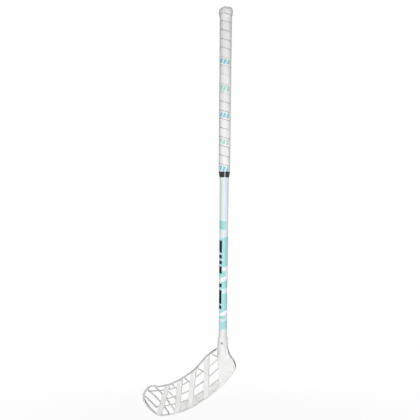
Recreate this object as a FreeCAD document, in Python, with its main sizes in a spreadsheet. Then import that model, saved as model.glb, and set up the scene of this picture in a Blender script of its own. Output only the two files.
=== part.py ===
import FreeCAD, Part
import math
import os

import Sketcher

# Floorball stick: tapered tube, butt cap, wound grip, collar, hooked lattice blade and its two screws.
# Millimetres, +Z up along the shaft towards the butt.  The origin is on the shaft's axis, in the middle
# of the grip, where the upper hand holds the stick.  The blade's toe points to -X, and the toe hooks
# towards +Y, so that -Y is the backhand side.

Vector = FreeCAD.Vector

# Driving sizes: lengths in millimetres, and at the end of each group its counts and angles
SIZES = {
    # Layout along the shaft, from the butt down
    "grip_length": 412.0,
    "collar_height": 14.4,
    "bare_length": 398.0,
    "blade_drop": 207.0,
    # Reach of the blade from the shaft's axis, and how far the toe bends out of the blade's plane
    "toe_reach": 211.5,
    "heel_reach": 35.0,
    "hook": 24.0,
    # Shaft tube
    "tube_butt_diameter": 25.0,
    "tube_tip_diameter": 20.6,
    "tube_wall": 1.4,
    # Butt cap
    "cap_head_height": 17.0,
    "cap_lip": 0.6,
    "cap_skirt_length": 11.5,
    "cap_skirt_flare": 2.4,
    "cap_skirt_edge": 0.5,
    "cap_plug_length": 30.0,
    "cap_clearance": 0.1,
    # Grip: a thin adhesive liner with the tape wound over it
    "liner_thickness": 0.4,
    "liner_clearance": 0.1,
    "tape_thickness": 1.8,
    "tape_slit": 0.6,
    "tape_clearance": 0.1,
    "tape_turns": 18,
    "tape_start_angle": 323,
    # Collar that closes the lower end of the grip
    "collar_lip": 0.45,
    "collar_edge": 0.5,
    "collar_split": 1.8,
    "collar_clearance": 0.1,
    "collar_split_angle": 18,
    # Blade socket and the neck that runs from it into the blade
    "socket_depth": 36.0,
    "socket_floor": 4.0,
    "socket_mouth_wall": 1.75,
    "socket_base_wall": 3.3,
    "socket_clearance": 0.1,
    "neck_length": 36.0,
    "neck_width": 22.0,
    # The solid heel thickens from the rim's depth up to the socket, and has shallow panels in both faces
    "heel_top_depth": 18.0,
    "panel_depth": 0.6,
    # Blade: rim, wide upright ribs, thin bars and braces, and the closed web along the bottom
    "rim_depth": 9.5,
    "rim_width": 4.0,
    "rib_depth": 8.0,
    "rib_width": 12.4,
    "bar_depth": 5.5,
    "bar_width": 3.0,
    "brace_width": 2.6,
    "web_depth": 4.5,
    # Screws that hold the blade, and the plug that they bite into
    "screw_drop": 15.2,
    "screw_diameter": 3.0,
    "screw_tip_length": 2.0,
    "screw_tip_gap": 4.2,
    "screw_head_diameter": 6.2,
    "screw_head_height": 1.8,
    "screw_seat_depth": 1.2,
    "screw_clearance": 0.1,
    "plug_past_screws": 5.2,
    "plug_clearance": 0.3,
    # How far a cutting shape runs past what it cuts
    "overrun": 5.0,
}

# Blade outline from the socket along the top edge, round the toe and back along the bottom edge:
# shares of toe_reach and of blade_drop
TOE_OUTLINE_SHARES = [
    (0.050, 0.127), (0.125, 0.175), (0.190, 0.228), (0.311, 0.367), (0.486, 0.509), (0.689, 0.611),
    (0.819, 0.631), (0.890, 0.636), (0.972, 0.704), (1.000, 0.777), (0.944, 0.891), (0.870, 0.960),
    (0.785, 1.000), (0.684, 0.992), (0.599, 0.972), (0.306, 0.844), (0.102, 0.687)]
# The rest of the outline, round the heel and up to the socket: shares of heel_reach and of blade_drop
HEEL_OUTLINE_SHARES = [
    (0.370, 0.526), (0.745, 0.440), (0.945, 0.378), (1.000, 0.342), (0.790, 0.272), (0.460, 0.188),
    (0.375, 0.140), (0.265, 0.090)]
# Upright ribs: middle of the rib at its head and at its foot, shares of toe_reach and of blade_drop
RIB_SHARES = [
    [(0.189, 0.200), (0.197, 0.752)],
    [(0.343, 0.380), (0.399, 0.900)],
    [(0.512, 0.500), (0.557, 0.968)],
    [(0.664, 0.580), (0.782, 0.985)]]
# Edge of the solid heel on the toe's side, from the socket down: shares of toe_reach and of blade_drop
HEEL_EDGE_SHARES = [(0.057, 0.100), (0.032, 0.660)]
# Shallow panels in the heel's faces, corner by corner: shares of heel_reach and of blade_drop
HEEL_PANEL_SHARES = [
    [(0.120, 0.345), (0.660, 0.300), (0.800, 0.345), (0.160, 0.400)],
    [(0.060, 0.425), (0.660, 0.376), (0.620, 0.430), (0.060, 0.480)],
    [(0.020, 0.505), (0.420, 0.468), (0.280, 0.510), (0.020, 0.545)]]
# Height over which the solid heel thickens, from the socket's mouth down: share of blade_drop
HEEL_RUN_SHARE = 0.66
# How far the solid areas are drawn past the outline that trims them: shares of blade_drop and heel_reach
BELOW_OUTLINE_SHARE = 1.1
PAST_HEEL_SHARE = 1.2
# Bars along the blade: shares of toe_reach and of blade_drop
UPPER_BAR_SHARES = [
    (0.030, 0.247), (0.253, 0.447), (0.464, 0.592), (0.662, 0.673), (0.801, 0.695), (0.930, 0.716)]
MIDDLE_BAR_SHARES = [
    (0.020, 0.360), (0.227, 0.547), (0.391, 0.665), (0.568, 0.745), (0.687, 0.790), (0.790, 0.815)]
# The lower bar starts as the top edge of the closed web along the bottom
WEB_EDGE_SHARES = [(0.010, 0.490), (0.226, 0.660), (0.415, 0.776), (0.575, 0.839)]
LOWER_BAR_SHARES = WEB_EDGE_SHARES + [(0.686, 0.867), (0.840, 0.897)]
# Slanting braces: from end to end, shares of toe_reach and of blade_drop
BRACE_SHARES = [
    [(0.990, 0.757), (0.810, 0.907)],
    [(0.940, 0.689), (0.782, 0.818), (0.655, 0.965)],
    [(0.845, 0.645), (0.678, 0.806), (0.570, 0.948)],
    [(0.690, 0.676), (0.560, 0.789)],
    [(0.622, 0.603), (0.555, 0.658)],
    [(0.470, 0.512), (0.395, 0.574)],
    [(0.309, 0.390), (0.220, 0.438)],
    [(0.130, 0.215), (0.040, 0.256)]]
# Rounding of the butt cap's head: share of its height
CAP_ROUND_SHARE = 0.44
# Cross recess in a screw's head: shares of the head's diameter, and of its height
DRIVE_LENGTH_SHARE = 0.58
DRIVE_WIDTH_SHARE = 0.145
DRIVE_DEPTH_SHARE = 0.6
# The tape is cut on the slant: what is left of its first and last turn
TAPE_CUT_SHARE = 0.15
TAPE_HALF_TURN_POINT_COUNT = 9
# A ruled face joins the starts of its two edges, and their ends
SAME_DIRECTION = True

doc = FreeCAD.newDocument("floorball_stick")
sheet = doc.addObject("Spreadsheet::Sheet", "Sizes")
for row, (alias, value) in enumerate(SIZES.items(), start=1):
    sheet.set(f"A{row}", alias)
    sheet.set(f"B{row}", str(value))
    sheet.setAlias(f"B{row}", alias)
doc.recompute()


def size(alias):
    """Return one driving size from the sheet."""
    return float(getattr(sheet, alias))


# Levels along the shaft, as expressions of the driving sizes
BUTT_LEVEL = "Sizes.grip_length / 2"
LEDGE_LEVEL = f"({BUTT_LEVEL} - Sizes.cap_head_height)"
GRIP_FOOT_LEVEL = "(-Sizes.grip_length / 2)"
COLLAR_FOOT_LEVEL = f"({GRIP_FOOT_LEVEL} - Sizes.collar_height)"
MOUTH_LEVEL = f"({COLLAR_FOOT_LEVEL} - Sizes.bare_length)"
TIP_LEVEL = f"({MOUTH_LEVEL} - Sizes.socket_depth)"
SCREW_LEVEL = f"({MOUTH_LEVEL} - Sizes.screw_drop)"
SOCKET_FOOT_LEVEL = f"({TIP_LEVEL} - Sizes.socket_floor)"
BLADE_FOOT_LEVEL = f"({MOUTH_LEVEL} - Sizes.blade_drop)"

# The tube is one long cone from its tip up to the ledge of the butt cap
TUBE_LENGTH = f"({LEDGE_LEVEL} - {TIP_LEVEL})"
TUBE_TAPER = f"((Sizes.tube_butt_diameter - Sizes.tube_tip_diameter) / 2 / {TUBE_LENGTH})"


def number(expression):
    """Return what an expression of the driving sizes comes to."""
    return float(sheet.evalExpression(expression))


def tube_radius(level):
    """Return the tube's outer radius at a level, as an expression."""
    return f"(Sizes.tube_tip_diameter / 2 + {TUBE_TAPER} * ({level} - {TIP_LEVEL}))"


def bore_radius(level):
    """Return the tube's inner radius at a level, as an expression."""
    return f"({tube_radius(level)} - Sizes.tube_wall)"


# Radii of the butt cap: its flared skirt under the ledge, and its head, which stands out past the tape
TAPE_LIFT = "(Sizes.tape_clearance + Sizes.tape_thickness)"
CAP_FLARE = f"({tube_radius(LEDGE_LEVEL)} + Sizes.cap_clearance + Sizes.cap_skirt_flare)"
CAP_HEAD = f"({CAP_FLARE} + {TAPE_LIFT} + Sizes.cap_lip)"
# Radii of the collar, which stands out past the foot of the tape and tapers down to a thin edge
LINER_FACE = f"({tube_radius(GRIP_FOOT_LEVEL)} + Sizes.liner_clearance + Sizes.liner_thickness)"
COLLAR_TOP = f"({LINER_FACE} + {TAPE_LIFT} + Sizes.collar_lip)"
COLLAR_BASE = f"({tube_radius(COLLAR_FOOT_LEVEL)} + Sizes.collar_clearance + Sizes.collar_edge)"
# Radii of the blade's socket outside, at its mouth, at its base and where the screws go in
SOCKET_HEIGHT = "(Sizes.socket_depth + Sizes.socket_floor)"
SOCKET_MOUTH = f"({tube_radius(MOUTH_LEVEL)} + Sizes.socket_clearance + Sizes.socket_mouth_wall)"
SOCKET_BASE = f"({tube_radius(TIP_LEVEL)} + Sizes.socket_clearance + Sizes.socket_base_wall)"
SOCKET_FACE = f"({SOCKET_MOUTH} + ({SOCKET_BASE} - {SOCKET_MOUTH}) * Sizes.screw_drop / {SOCKET_HEIGHT})"
# Distance from the axis to the flat seat under a screw's head, and what is left there for its shank
SCREW_SEAT = f"({SOCKET_FACE} - Sizes.screw_seat_depth)"
SCREW_STRAIGHT = f"({SCREW_SEAT} - Sizes.screw_tip_gap / 2 - Sizes.screw_tip_length)"
SCREW_HOLE = "(Sizes.screw_diameter / 2 + Sizes.screw_clearance)"
PLUG_LENGTH = "(Sizes.socket_depth - Sizes.screw_drop + Sizes.plug_past_screws)"
# The toe's hook as an arc that leaves the blade's plane at the shaft's axis
HOOK_RADIUS = "((Sizes.toe_reach ^ 2 + Sizes.hook ^ 2) / (2 * Sizes.hook))"


def new_body(label, level):
    """Return an empty body whose own zero is at a level of the stick."""
    body = doc.addObject("PartDesign::Body", label)
    body.Label = label
    body.setExpression("Placement.Base.z", level)
    return body


def new_sketch(body, name):
    """Return an empty sketch on the body's own upright plane, across the stick and up it."""
    sketch = body.newObject("Sketcher::SketchObject", name)
    plane = next(plane for plane in body.Origin.OriginFeatures if plane.Role == "XZ_Plane")
    sketch.AttachmentSupport = [(plane, "")]
    sketch.MapMode = "FlatFace"
    return sketch


def bind(sketch, kind, geometry, point, expression):
    """Hold one coordinate of a sketch point at an expression of the driving sizes."""
    index = sketch.addConstraint(Sketcher.Constraint(kind, -1, 1, geometry, point, number(expression)))
    sketch.setExpression(f"Constraints[{index}]", expression)


def outline_sketch(body, name, corners):
    """Return a closed sketch of straight sides through corners given as (across, up) expressions."""
    sketch = new_sketch(body, name)
    points = [Vector(number(across), number(up), 0) for across, up in corners]
    for start, end in zip(points, points[1:] + points[:1]):
        sketch.addGeometry(Part.LineSegment(start, end), False)
    for side in range(len(points)):
        following = (side + 1) % len(points)
        sketch.addConstraint(Sketcher.Constraint("Coincident", side, 2, following, 1))
    for side, (across, up) in enumerate(corners):
        bind(sketch, "DistanceX", side, 1, across)
        bind(sketch, "DistanceY", side, 1, up)
    return sketch


def revolve(label, level, corners):
    """Return a body turned about the shaft's axis from (radius, height above level) expressions."""
    body = new_body(label, level)
    sketch = outline_sketch(body, f"{label}_profile", corners)
    turned = body.newObject("PartDesign::Revolution", f"{label}_turned")
    turned.Profile = sketch
    turned.ReferenceAxis = (sketch, ["V_Axis"])
    turned.Angle = 360
    body.Tip = turned
    return body


def cross_hole(body, height):
    """Drill the screws' hole right through a body, along Y, at a height above its own zero."""
    sketch = new_sketch(body, f"{body.Label}_hole_circle")
    centre = Vector(0, number(height), 0)
    sketch.addGeometry(Part.Circle(centre, Vector(0, 0, 1), number(SCREW_HOLE)), False)
    sketch.addConstraint(Sketcher.Constraint("PointOnObject", 0, 3, -2))
    bind(sketch, "DistanceY", 0, 3, height)
    index = sketch.addConstraint(Sketcher.Constraint("Radius", 0, number(SCREW_HOLE)))
    sketch.setExpression(f"Constraints[{index}]", SCREW_HOLE)
    hole = body.newObject("PartDesign::Pocket", f"{body.Label}_hole")
    hole.Profile = sketch
    hole.Type = "ThroughAll"
    hole.Midplane = True
    body.Tip = hole


def shaft_tube():
    """The composite tube: one long taper, drilled near its tip for the blade's screws."""
    wall = "Sizes.tube_wall"
    tip, butt = tube_radius(TIP_LEVEL), tube_radius(LEDGE_LEVEL)
    body = revolve("shaft_tube", TIP_LEVEL, [
        (f"{tip} - {wall}", "0"), (tip, "0"), (butt, TUBE_LENGTH), (f"{butt} - {wall}", TUBE_LENGTH)])
    cross_hole(body, f"({SCREW_LEVEL} - {TIP_LEVEL})")
    return body


def tip_plug():
    """The bung in the tube's tip, which backs the thin wall where the screws go in."""
    top = f"({TIP_LEVEL} + {PLUG_LENGTH})"
    body = revolve("tip_plug", TIP_LEVEL, [
        ("0", "0"), (f"{bore_radius(TIP_LEVEL)} - Sizes.plug_clearance", "0"),
        (f"{bore_radius(top)} - Sizes.plug_clearance", PLUG_LENGTH), ("0", PLUG_LENGTH)])
    cross_hole(body, f"({SCREW_LEVEL} - {TIP_LEVEL})")
    return body


def butt_cap():
    """The butt cap: a plug in the tube's end, a flared skirt round it and a rounded head on top."""
    foot = f"({LEDGE_LEVEL} - Sizes.cap_plug_length)"
    skirt_foot = f"({LEDGE_LEVEL} - Sizes.cap_skirt_length)"
    slip = "Sizes.cap_clearance"
    plug_top = "Sizes.cap_plug_length"
    skirt_end = f"({plug_top} - Sizes.cap_skirt_length)"
    top = f"({plug_top} + Sizes.cap_head_height)"
    body = revolve("butt_cap", foot, [
        ("0", "0"),
        (f"{bore_radius(foot)} - {slip}", "0"),
        (f"{bore_radius(LEDGE_LEVEL)} - {slip}", plug_top),
        (f"{tube_radius(LEDGE_LEVEL)} + {slip}", plug_top),
        (f"{tube_radius(skirt_foot)} + {slip}", skirt_end),
        (f"{tube_radius(skirt_foot)} + {slip} + Sizes.cap_skirt_edge", skirt_end),
        (CAP_FLARE, plug_top),
        (CAP_HEAD, plug_top),
        (CAP_HEAD, top),
        ("0", top)])
    doc.recompute()
    turned = body.Tip
    edges = turned.Shape.Edges
    rim = max(range(len(edges)), key=lambda index: edges[index].BoundBox.ZMin + edges[index].Length)
    rounding = body.newObject("PartDesign::Fillet", "butt_cap_round")
    rounding.Base = (turned, [f"Edge{rim + 1}"])
    rounding.setExpression("Radius", f"{CAP_ROUND_SHARE} * Sizes.cap_head_height")
    body.Tip = rounding
    return body


def grip_liner():
    """The thin adhesive sleeve on the tube, from the cap's skirt to the collar, that holds the tape."""
    top = f"({LEDGE_LEVEL} - Sizes.cap_skirt_length)"
    slip = "Sizes.liner_clearance"
    height = f"({top} - {GRIP_FOOT_LEVEL})"
    foot_radius = f"({tube_radius(GRIP_FOOT_LEVEL)} + {slip})"
    top_radius = f"({tube_radius(top)} + {slip})"
    return revolve("grip_liner", GRIP_FOOT_LEVEL, [
        (foot_radius, "0"), (f"{foot_radius} + Sizes.liner_thickness", "0"),
        (f"{top_radius} + Sizes.liner_thickness", height), (top_radius, height)])


def grip_collar():
    """The tapered collar under the grip, split down one side so that it can be put round the tube."""
    slip = "Sizes.collar_clearance"
    height = "Sizes.collar_height"
    body = revolve("grip_collar", COLLAR_FOOT_LEVEL, [
        (f"{tube_radius(COLLAR_FOOT_LEVEL)} + {slip}", "0"),
        (COLLAR_BASE, "0"),
        (COLLAR_TOP, height),
        (f"{tube_radius(GRIP_FOOT_LEVEL)} + {slip}", height)])
    half, past = "Sizes.collar_split / 2", "Sizes.overrun"
    sketch = outline_sketch(body, "grip_collar_split_outline", [
        (f"-{half}", f"-{past}"), (half, f"-{past}"),
        (half, f"{height} + {past}"), (f"-{half}", f"{height} + {past}")])
    split = body.newObject("PartDesign::Pocket", "grip_collar_split")
    split.Profile = sketch
    split.Type = "ThroughAll"
    split.Reversed = True
    body.Tip = split
    body.Placement.Rotation = FreeCAD.Rotation(Vector(0, 0, 1), 0)
    body.setExpression("Placement.Rotation.Angle", "Sizes.collar_split_angle")
    return body


def tape_seat(level):
    """Return the radius that the tape lies on at a level: the liner, or the cap's flared skirt."""
    liner = number(tube_radius(str(level))) + size("liner_clearance") + size("liner_thickness")
    skirt_top = number(LEDGE_LEVEL)
    skirt_length = size("cap_skirt_length")
    skirt_end = number(tube_radius(f"({LEDGE_LEVEL} - Sizes.cap_skirt_length)"))
    skirt_end += size("cap_clearance") + size("cap_skirt_edge")
    flare = (number(CAP_FLARE) - skirt_end) / skirt_length
    skirt = skirt_end + flare * (level - skirt_top + skirt_length)
    return max(liner, skirt) + size("tape_clearance")


def tape_levels(turn):
    """Return the levels of the tape's lower and upper edge after a number of turns."""
    top = number(LEDGE_LEVEL) - size("tape_clearance")
    foot = number(GRIP_FOOT_LEVEL) + size("tape_clearance")
    pitch = (top - foot + size("tape_slit")) / size("tape_turns")
    lower = max(foot, top - pitch * turn + size("tape_slit"))
    upper = min(top, top - pitch * (turn - 1))
    return lower, upper


def tape_corners(turn):
    """Return the four corners of the tape's section after a number of turns."""
    angle = math.radians(size("tape_start_angle")) + 2 * math.pi * turn
    lower, upper = tape_levels(turn)
    corners = []
    for level, lift in ((lower, 0), (upper, 0), (upper, 1), (lower, 1)):
        radius = tape_seat(level) + lift * size("tape_thickness")
        corners.append(Vector(radius * math.cos(angle), radius * math.sin(angle), level))
    return corners


def spline(points):
    """Return one smooth edge through points."""
    curve = Part.BSplineCurve()
    curve.interpolate(points)
    return curve.toShape()


def grip_tape():
    """The grip tape: one flat strip wound left-handed down the grip, cut on the slant at both ends."""
    turns = int(size("tape_turns"))
    breaks = [TAPE_CUT_SHARE] + [half / 2 for half in range(1, 2 * turns + 2)]
    breaks.append(turns + 1 - TAPE_CUT_SHARE)
    faces = []
    samples = []
    for first, last in zip(breaks, breaks[1:]):
        steps = TAPE_HALF_TURN_POINT_COUNT - 1
        stations = [first + (last - first) * step / steps for step in range(steps + 1)]
        sections = [tape_corners(turn) for turn in stations]
        samples += sections
        edges = [spline(list(corner_points)) for corner_points in zip(*sections)]
        for edge, following in zip(edges, edges[1:] + edges[:1]):
            faces.append(Part.makeRuledSurface(edge, following, SAME_DIRECTION))
    for end in (samples[0], samples[-1]):
        faces.append(Part.Face(Part.makePolygon(end + end[:1])))
    shell = Part.Compound(faces)
    shell.sewShape()
    solid = Part.Solid(shell.Shells[0])
    if solid.Volume < 0:
        solid.reverse()
    lower_points = [section[corner] for section in samples for corner in (0, 3)]
    upper_points = [section[corner] for section in samples for corner in (1, 2)]
    reach = size("tape_slit") * 2
    gaps = [(low - high).Length for low in lower_points for high in upper_points
            if 0 < low.z - high.z < reach]
    print(f"grip_tape: {turns} turns, least gap to itself {min(gaps):.3f} mm")
    tape = doc.addObject("Part::Feature", "grip_tape")
    tape.Shape = solid
    tape.Placement = FreeCAD.Placement()
    return tape


def blade_point(shares):
    """Return a point of the blade's plane from shares of toe_reach and blade_drop."""
    reach, drop = shares
    return Vector(-reach * size("toe_reach"), 0, number(MOUTH_LEVEL) - drop * size("blade_drop"))


def heel_point(shares):
    """Return a point of the blade's plane from shares of heel_reach and blade_drop."""
    reach, drop = shares
    return Vector(reach * size("heel_reach"), 0, number(MOUTH_LEVEL) - drop * size("blade_drop"))


def face_of(edges):
    """Return the flat face inside a ring of edges, facing -Y as they all do, so that faces can merge."""
    wire = Part.Wire(edges)
    if Part.Face(wire).normalAt(0, 0).y > 0:
        wire.reverse()
    return Part.Face(wire)


def polygon_face(points):
    """Return the flat face inside straight sides."""
    return face_of(Part.makePolygon(points + points[:1]).Edges)


def strip_face(points, width):
    """Return the flat strip of a width along a line of points."""
    sides = ([], [])
    last = len(points) - 1
    for index, point in enumerate(points):
        along = points[min(index + 1, last)] - points[max(index - 1, 0)]
        across = Vector(-along.z, 0, along.x).normalize() * (width / 2)
        sides[0].append(point + across)
        sides[1].append(point - across)
    if len(points) == 2:
        return polygon_face(sides[0] + sides[1][::-1])
    ends = [Part.makeLine(sides[0][end], sides[1][end]) for end in (0, -1)]
    return face_of([spline(sides[0]), ends[1], spline(sides[1]), ends[0]])


def joined(faces):
    """Return flat faces as one area."""
    return Part.Shell(faces[0].multiFuse(faces[1:]).Faces).removeSplitter()


def outline_face():
    """Return the blade's outline as a flat face."""
    points = [blade_point(shares) for shares in TOE_OUTLINE_SHARES]
    points += [heel_point(shares) for shares in HEEL_OUTLINE_SHARES]
    return face_of([spline(points), Part.makeLine(points[-1], points[0])])


def inset_face(face, distance):
    """Return a flat face drawn in by a distance all round, with splines for the edges of its outline."""
    return face_of(face.makeOffset2D(-distance).OuterWire.toNurbs().Edges)


def heel_area():
    """Return the area of the solid heel under the socket."""
    heel_edge = [blade_point(shares) for shares in HEEL_EDGE_SHARES]
    past_heel = [heel_point((PAST_HEEL_SHARE, drop)) for _, drop in HEEL_EDGE_SHARES]
    return polygon_face(heel_edge + past_heel[::-1])


def rib_area():
    """Return the area of the upright ribs and of the solid heel."""
    ribs = [strip_face([blade_point(shares) for shares in rib], size("rib_width")) for rib in RIB_SHARES]
    return joined(ribs + [heel_area()])


def web_area():
    """Return the area of the closed web between the ribs, below the lower bar."""
    top_edge = [blade_point(shares) for shares in WEB_EDGE_SHARES]
    below = [blade_point((WEB_EDGE_SHARES[-1][0], BELOW_OUTLINE_SHARE)),
             heel_point((PAST_HEEL_SHARE, BELOW_OUTLINE_SHARE)),
             heel_point((PAST_HEEL_SHARE, WEB_EDGE_SHARES[0][1]))]
    sides = Part.makePolygon([top_edge[-1]] + below + [top_edge[0]]).Edges
    return face_of([spline(top_edge)] + sides)


def bar_area():
    """Return the area of the bars along the blade and of the slanting braces."""
    strips = [strip_face([blade_point(shares) for shares in bar], size("bar_width"))
              for bar in (UPPER_BAR_SHARES, MIDDLE_BAR_SHARES, LOWER_BAR_SHARES)]
    strips += [strip_face([blade_point(shares) for shares in brace], size("brace_width"))
               for brace in BRACE_SHARES]
    return joined(strips)


def prism_of(name, area, length):
    """Return an area of the blade's plane drawn out to both sides, to a length given as an expression."""
    flat = doc.addObject("Part::Feature", f"{name}_area")
    flat.Shape = area
    prism = doc.addObject("Part::Extrusion", f"{name}_prism")
    prism.Base = flat
    prism.DirMode = "Custom"
    prism.Dir = Vector(0, 1, 0)
    prism.Solid = True
    prism.Symmetric = True
    prism.setExpression("LengthFwd", length)
    return prism


def boolean(kind, name, base, tool):
    """Return what a kind of boolean makes of two objects."""
    result = doc.addObject(kind, name)
    result.Base, result.Tool = base, tool
    return result


def hooked_layer(name, area, depth):
    """Return an area of the blade's plane as a layer of a depth that follows the toe's hook."""
    prism = prism_of(name, area, f"2 * (Sizes.hook + {depth} + Sizes.overrun)")
    skins = []
    for side, sign in (("outer", "+"), ("inner", "-")):
        skin = doc.addObject("Part::Cylinder", f"{name}_{side}_skin")
        skin.setExpression("Radius", f"{HOOK_RADIUS} {sign} {depth} / 2")
        skin.setExpression("Height", "Sizes.blade_drop + 2 * Sizes.overrun")
        skin.setExpression("Placement.Base.y", HOOK_RADIUS)
        skin.setExpression("Placement.Base.z", f"{BLADE_FOOT_LEVEL} - Sizes.overrun")
        skins.append(skin)
    shell = boolean("Part::Cut", f"{name}_shell", *skins)
    return boolean("Part::Common", f"{name}_layer", shell, prism)


def heel_wedge(name, sunk):
    """Return the wedge of the heel's two faces, each sunk by a depth given as an expression."""
    wedge = doc.addObject("Part::Wedge", name)
    past = "Sizes.overrun"
    for corner, across in (("Xmin", f"-Sizes.neck_width - {past}"), ("Xmax", f"Sizes.heel_reach + {past}")):
        wedge.setExpression(corner, across)
        wedge.setExpression(corner.replace("X", "X2"), across)
    wedge.setExpression("Ymin", "0")
    wedge.setExpression("Ymax", f"{HEEL_RUN_SHARE} * Sizes.blade_drop")
    for side, sign in (("min", "-"), ("max", "")):
        wedge.setExpression(f"Z{side}", f"{sign}(Sizes.heel_top_depth / 2 - {sunk})")
        wedge.setExpression(f"Z2{side}", f"{sign}(Sizes.rim_depth / 2 - {sunk})")
    wedge.Placement.Rotation = FreeCAD.Rotation(Vector(1, 0, 0), -90)
    wedge.setExpression("Placement.Base.z", MOUTH_LEVEL)
    return wedge


def heel_taper(area):
    """Return the solid heel, which thickens from the rim's depth up towards the socket, with its panels."""
    length = "2 * Sizes.heel_top_depth"
    block = boolean("Part::Common", "heel_block", prism_of("heel", area, length),
                    heel_wedge("heel_faces", "0"))
    panels = [polygon_face([heel_point(shares) for shares in panel]) for panel in HEEL_PANEL_SHARES]
    hollows = boolean("Part::Cut", "heel_hollows", prism_of("heel_panel", Part.Compound(panels), length),
                      heel_wedge("heel_panel_floors", "Sizes.panel_depth"))
    return boolean("Part::Cut", "heel_solid", block, hollows)


def socket_cone(name, foot, height, foot_radius, top_radius):
    """Return a cone about the shaft's axis from expressions of its level, height and radii."""
    cone = doc.addObject("Part::Cone", name)
    cone.setExpression("Radius1", foot_radius)
    cone.setExpression("Radius2", top_radius)
    cone.setExpression("Height", height)
    cone.setExpression("Placement.Base.z", foot)
    return cone


def along_y(name, radius, start, length):
    """Return a cylinder along +Y at the screws' level from expressions of its radius, start and length."""
    rod = doc.addObject("Part::Cylinder", name)
    rod.setExpression("Radius", radius)
    rod.setExpression("Height", length)
    rod.Placement.Rotation = FreeCAD.Rotation(Vector(1, 0, 0), -90)
    rod.setExpression("Placement.Base.y", start)
    rod.setExpression("Placement.Base.z", SCREW_LEVEL)
    return rod


def blade():
    """The blade: one moulding of rim, ribs, bars, heel, neck and socket, bored for the tube and screws."""
    outline = outline_face()
    inside = inset_face(outline, size("rim_width"))
    rim_middle = inset_face(outline, size("rim_width") / 2)
    layers = [
        hooked_layer("rim", outline.cut(inside), "Sizes.rim_depth"),
        hooked_layer("rib", rim_middle.common(rib_area()), "Sizes.rib_depth"),
        hooked_layer("bar", rim_middle.common(bar_area()), "Sizes.bar_depth"),
        hooked_layer("web", rim_middle.common(web_area()), "Sizes.web_depth"),
        heel_taper(outline.common(heel_area()))]
    barrel = socket_cone("socket_barrel", SOCKET_FOOT_LEVEL, SOCKET_HEIGHT, SOCKET_BASE, SOCKET_MOUTH)
    neck_top = doc.addObject("Part::Circle", "neck_top")
    neck_top.setExpression("Radius", SOCKET_BASE)
    neck_top.setExpression("Placement.Base.z", SOCKET_FOOT_LEVEL)
    neck_foot = doc.addObject("Part::Ellipse", "neck_foot")
    neck_foot.setExpression("MajorRadius", "Sizes.neck_width / 2")
    neck_foot.setExpression("MinorRadius", "Sizes.bar_depth / 2")
    neck_foot.setExpression("Placement.Base.z", f"{SOCKET_FOOT_LEVEL} - Sizes.neck_length")
    neck = doc.addObject("Part::Loft", "neck")
    neck.Sections = [neck_top, neck_foot]
    neck.Solid = True
    moulding = doc.addObject("Part::MultiFuse", "blade_moulding")
    moulding.Shapes = layers + [barrel, neck]
    mouth = f"({MOUTH_LEVEL} + Sizes.overrun)"
    bore = socket_cone("socket_bore", TIP_LEVEL, "Sizes.socket_depth + Sizes.overrun",
                       f"{tube_radius(TIP_LEVEL)} + Sizes.socket_clearance",
                       f"{tube_radius(mouth)} + Sizes.socket_clearance")
    reach = f"({SOCKET_FACE} + Sizes.overrun)"
    head_hole = "Sizes.screw_head_diameter / 2 + Sizes.screw_clearance"
    seat_length = f"{reach} - {SCREW_SEAT}"
    cuts = [
        bore,
        along_y("screw_hole", SCREW_HOLE, f"-{reach}", f"2 * {reach}"),
        along_y("front_screw_seat", head_hole, f"-{reach}", seat_length),
        along_y("back_screw_seat", head_hole, SCREW_SEAT, seat_length)]
    openings = doc.addObject("Part::MultiFuse", "socket_openings")
    openings.Shapes = cuts
    return boolean("Part::Cut", "blade", moulding, openings)


def blade_screws():
    """The two screws through the socket: pan heads with a cross recess, one in front and one behind."""
    head_top = f"({SCREW_SEAT} + Sizes.screw_head_height)"
    head = along_y("screw_head", "Sizes.screw_head_diameter / 2", f"-{head_top}", "Sizes.screw_head_height")
    shank = along_y("screw_shank", "Sizes.screw_diameter / 2", f"-{SCREW_SEAT}", SCREW_STRAIGHT)
    tip = doc.addObject("Part::Cone", "screw_tip")
    tip.setExpression("Radius1", "Sizes.screw_diameter / 2")
    tip.Radius2 = 0
    tip.setExpression("Height", "Sizes.screw_tip_length")
    tip.Placement.Rotation = FreeCAD.Rotation(Vector(1, 0, 0), -90)
    tip.setExpression("Placement.Base.y", f"{SCREW_STRAIGHT} - {SCREW_SEAT}")
    tip.setExpression("Placement.Base.z", SCREW_LEVEL)
    stock = doc.addObject("Part::MultiFuse", "screw_stock")
    stock.Shapes = [head, shank, tip]
    long_side = f"{DRIVE_LENGTH_SHARE} * Sizes.screw_head_diameter"
    short_side = f"{DRIVE_WIDTH_SHARE} * Sizes.screw_head_diameter"
    slots = []
    for across, high in ((long_side, short_side), (short_side, long_side)):
        slot = doc.addObject("Part::Box", "screw_slot")
        slot.setExpression("Length", across)
        slot.setExpression("Height", high)
        slot.setExpression("Width", f"{DRIVE_DEPTH_SHARE} * Sizes.screw_head_height + Sizes.overrun")
        slot.setExpression("Placement.Base.x", f"-{across} / 2")
        slot.setExpression("Placement.Base.y", f"-({head_top} + Sizes.overrun)")
        slot.setExpression("Placement.Base.z", f"{SCREW_LEVEL} - {high} / 2")
        slots.append(slot)
    recess = doc.addObject("Part::MultiFuse", "screw_recess")
    recess.Shapes = slots
    front = boolean("Part::Cut", "front_screw", stock, recess)
    back = doc.addObject("Part::Mirroring", "back_screw")
    back.Source = front
    back.Normal = Vector(0, 1, 0)
    pair = doc.addObject("Part::Compound", "blade_screws")
    pair.Links = [front, back]
    return pair


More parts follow.
